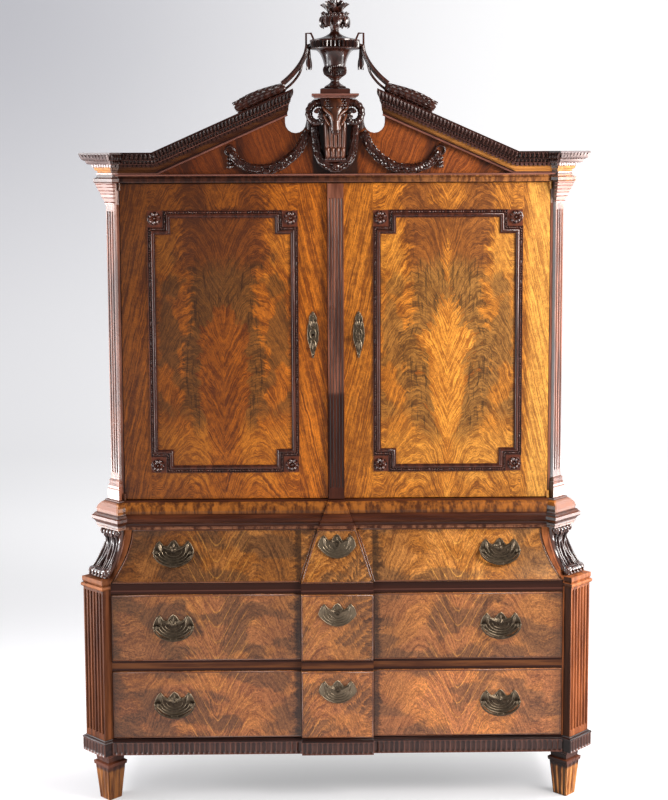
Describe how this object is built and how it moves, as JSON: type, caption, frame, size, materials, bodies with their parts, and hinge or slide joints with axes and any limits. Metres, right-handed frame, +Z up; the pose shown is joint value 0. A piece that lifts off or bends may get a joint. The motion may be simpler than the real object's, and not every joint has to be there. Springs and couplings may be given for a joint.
{
  "type": "cabinet on chest",
  "caption": "Tall neoclassical cabinet on a chest of drawers, with panelled doors, canted fluted corners, ram's head console, urn and broken pediment.",
  "frame": {"origin": "on the floor, under the middle of the bounding box", "axes": "+X to the viewer's right, +Y from the doors to the back, +Z up"},
  "size_m": [1.8, 0.615, 2.767],
  "materials": {
    "dark_mahogany": "French polished, glossy",
    "flame_veneer": "figured veneer, French polished, glossy",
    "inner_wood": "unpolished, matt",
    "antique_bronze": "dark antique patina, worn bright on edges"
  },
  "bodies": {
    "case": {"cabinet_back": "inner_wood", "cabinet_floor": "inner_wood", "cabinet_side_left": "dark_mahogany", "cabinet_side_right": "dark_mahogany", "cabinet_top": "dark_mahogany", "chest_back": "inner_wood", "chest_side_left": "dark_mahogany", "chest_side_right": "dark_mahogany", "console_left": "dark_mahogany", "console_right": "dark_mahogany", "corner_post_left": "dark_mahogany", "corner_post_right": "dark_mahogany", "cornice_left": "dark_mahogany", "cornice_right": "dark_mahogany", "festoon_left": "dark_mahogany", "festoon_right": "dark_mahogany", "foot_back_left": "dark_mahogany", "foot_back_right": "dark_mahogany", "foot_front_left": "dark_mahogany", "foot_front_right": "dark_mahogany", "garland_left": "dark_mahogany", "garland_right": "dark_mahogany", "plinth": "dark_mahogany", "rail_lower": "dark_mahogany", "rail_upper": "dark_mahogany", "ram_console": "dark_mahogany", "shelf_lower": "inner_wood", "shelf_upper": "inner_wood", "tympanum": "flame_veneer", "urn": "dark_mahogany", "waist_moulding": "dark_mahogany"},
    "door_left": {"door_left": "flame_veneer", "door_escutcheon_left": "antique_bronze", "panel_moulding_left": "dark_mahogany"},
    "door_right": {"door_right": "flame_veneer", "door_escutcheon_right": "antique_bronze", "panel_moulding_right": "dark_mahogany", "centre_pilaster": "dark_mahogany"},
    "key": {"key": "antique_bronze"},
    "drawer_lower": {"drawer_front_lower": "flame_veneer", "drawer_box_lower": "inner_wood", "drawer_escutcheon_lower": "antique_bronze", "handle_plate_lower_left": "antique_bronze", "handle_plate_lower_right": "antique_bronze"},
    "bail_lower_left": {"handle_bail_lower_left": "antique_bronze"},
    "bail_lower_right": {"handle_bail_lower_right": "antique_bronze"},
    "drawer_middle": {"drawer_front_middle": "flame_veneer", "drawer_box_middle": "inner_wood", "drawer_escutcheon_middle": "antique_bronze", "handle_plate_middle_left": "antique_bronze", "handle_plate_middle_right": "antique_bronze"},
    "bail_middle_left": {"handle_bail_middle_left": "antique_bronze"},
    "bail_middle_right": {"handle_bail_middle_right": "antique_bronze"},
    "drawer_upper": {"drawer_front_upper": "flame_veneer", "drawer_box_upper": "inner_wood", "drawer_escutcheon_upper": "antique_bronze", "handle_plate_upper_left": "antique_bronze", "handle_plate_upper_right": "antique_bronze"},
    "bail_upper_left": {"handle_bail_upper_left": "antique_bronze"},
    "bail_upper_right": {"handle_bail_upper_right": "antique_bronze"}
  },
  "joints": [
    {"name": "door_left_hinge", "type": "hinge", "parent": "case", "child": "door_left", "pos_m": [-0.7375, -0.198, 1.057], "axis": [0, 0, -1], "range_deg": [0, 103]},
    {"name": "door_right_hinge", "type": "hinge", "parent": "case", "child": "door_right", "pos_m": [0.7375, -0.198, 1.057], "axis": [0, 0, 1], "range_deg": [0, 103]},
    {"name": "key_turn", "type": "hinge", "parent": "door_right", "child": "key", "pos_m": [0.079, -0.1975, 1.631], "axis": [0, 1, 0], "range_deg": [-90, 90]},
    {"name": "drawer_lower_slide", "type": "slide", "parent": "case", "child": "drawer_lower", "axis": [0, -1, 0], "range_m": [0, 0.38]},
    {"name": "bail_lower_left_hinge", "type": "hinge", "parent": "drawer_lower", "child": "bail_lower_left", "pos_m": [-0.567, -0.2868, 0.35], "axis": [-1, 0, 0], "range_deg": [0, 85]},
    {"name": "bail_lower_right_hinge", "type": "hinge", "parent": "drawer_lower", "child": "bail_lower_right", "pos_m": [0.567, -0.2868, 0.35], "axis": [-1, 0, 0], "range_deg": [0, 85]},
    {"name": "drawer_middle_slide", "type": "slide", "parent": "case", "child": "drawer_middle", "axis": [0, -1, 0], "range_m": [0, 0.38]},
    {"name": "bail_middle_left_hinge", "type": "hinge", "parent": "drawer_middle", "child": "bail_middle_left", "pos_m": [-0.567, -0.2868, 0.626], "axis": [-1, 0, 0], "range_deg": [0, 85]},
    {"name": "bail_middle_right_hinge", "type": "hinge", "parent": "drawer_middle", "child": "bail_middle_right", "pos_m": [0.567, -0.2868, 0.626], "axis": [-1, 0, 0], "range_deg": [0, 85]},
    {"name": "drawer_upper_slide", "type": "slide", "parent": "case", "child": "drawer_upper", "axis": [0, -1, 0], "range_m": [0, 0.38]},
    {"name": "bail_upper_left_hinge", "type": "hinge", "parent": "drawer_upper", "child": "bail_upper_left", "pos_m": [-0.567, -0.24515, 0.87917], "axis": [-1, 0, 0], "range_deg": [0, 85]},
    {"name": "bail_upper_right_hinge", "type": "hinge", "parent": "drawer_upper", "child": "bail_upper_right", "pos_m": [0.567, -0.24515, 0.87917], "axis": [-1, 0, 0], "range_deg": [0, 85]}
  ]
}
